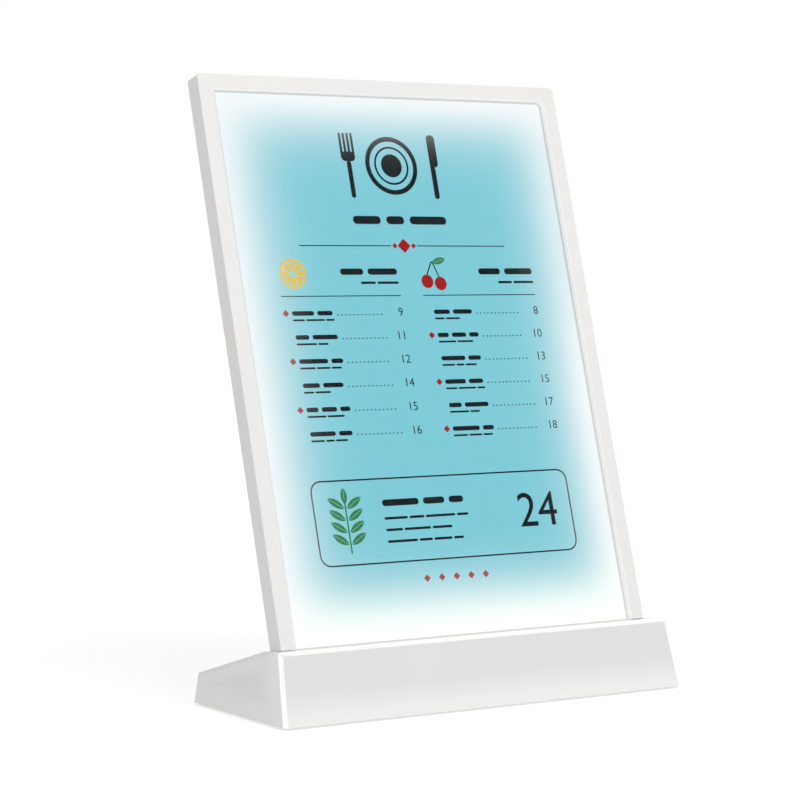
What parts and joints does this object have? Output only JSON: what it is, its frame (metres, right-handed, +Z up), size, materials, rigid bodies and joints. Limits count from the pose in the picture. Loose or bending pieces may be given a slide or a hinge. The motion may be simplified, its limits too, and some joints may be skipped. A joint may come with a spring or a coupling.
{
  "type": "tabletop menu light box",
  "caption": "Slim edge-lit menu panel leaning back in a wedge-shaped desk base, with a pull-off magnetic front cover and a rear power button.",
  "frame": {"origin": "on the table, below the centre of the object's bounding box", "axes": "+Z up from the table, +X to the right as seen from the front, -Y towards the viewer"},
  "size_m": [0.243, 0.107, 0.3216],
  "materials": {
    "base_plastic": "satin moulded white plastic",
    "panel_plastic": "fine satin off-white plastic",
    "plate_plastic": "matt moulded plastic",
    "button_plastic": "satin grey plastic",
    "foot_rubber": "matt rubber",
    "screw_steel": "zinc plated",
    "magnet_steel": "nickel plated",
    "contact_steel": "nickel plated",
    "pin_brass": "plated",
    "dark_plastic": "matt black plastic",
    "cell_wrap": "shrink wrapped",
    "circuit_board": "solder mask",
    "strip_board": "white solder mask",
    "light_chip": "clear over phosphor",
    "lead_red": "soft insulation",
    "lead_black": "soft insulation",
    "clear_acrylic": "polished clear acrylic",
    "opal_acrylic": "opal white",
    "lit_print": "backlit printed film"
  },
  "bodies": {
    "base": {"base_shell": "base_plastic", "bottom_plate": "plate_plastic", "plate_screws": "screw_steel", "rubber_feet": "foot_rubber", "battery_cradle": "dark_plastic", "battery_cells": "cell_wrap", "battery_contacts": "contact_steel", "battery_leads": "lead_red", "control_board": "circuit_board", "driver_parts": "dark_plastic", "board_screws": "screw_steel", "charge_socket": "contact_steel", "socket_tongue": "dark_plastic", "tact_switch": "dark_plastic", "indicator_led": "light_chip", "indicator_light": "clear_acrylic", "panel_jack": "dark_plastic", "jack_pin": "pin_brass", "jack_leads": "lead_black", "slot_pads": "foot_rubber"},
    "power_button": {"button_cap": "button_plastic", "switch_plunger": "dark_plastic"},
    "light_panel": {"back_shell": "panel_plastic", "bottom_rail": "panel_plastic", "rail_screws": "screw_steel", "reflector_sheet": "opal_acrylic", "light_guide": "clear_acrylic", "diffuser_sheet": "opal_acrylic", "menu_sheet": "lit_print", "led_strip_left": "strip_board", "led_strip_right": "strip_board", "led_strip_top": "strip_board", "led_strip_bottom": "strip_board", "led_chips": "light_chip", "strip_links": "contact_steel", "tray_magnets": "magnet_steel", "panel_plug": "contact_steel"},
    "front_cover": {"front_bezel": "panel_plastic", "clear_window": "clear_acrylic", "keeper_discs": "magnet_steel"}
  },
  "joints": [
    {"name": "panel_lift", "type": "slide", "parent": "base", "child": "light_panel", "axis": [0, 0.284, 0.9588], "range_m": [0, 0.06]},
    {"name": "cover_pull", "type": "slide", "parent": "light_panel", "child": "front_cover", "axis": [0, -0.9588, 0.284], "range_m": [0, 0.06]},
    {"name": "button_press", "type": "slide", "parent": "base", "child": "power_button", "axis": [0, -1, 0], "range_m": [0, 0.001], "stiffness_N_per_m": 1500, "springref_m": -0.0003}
  ]
}
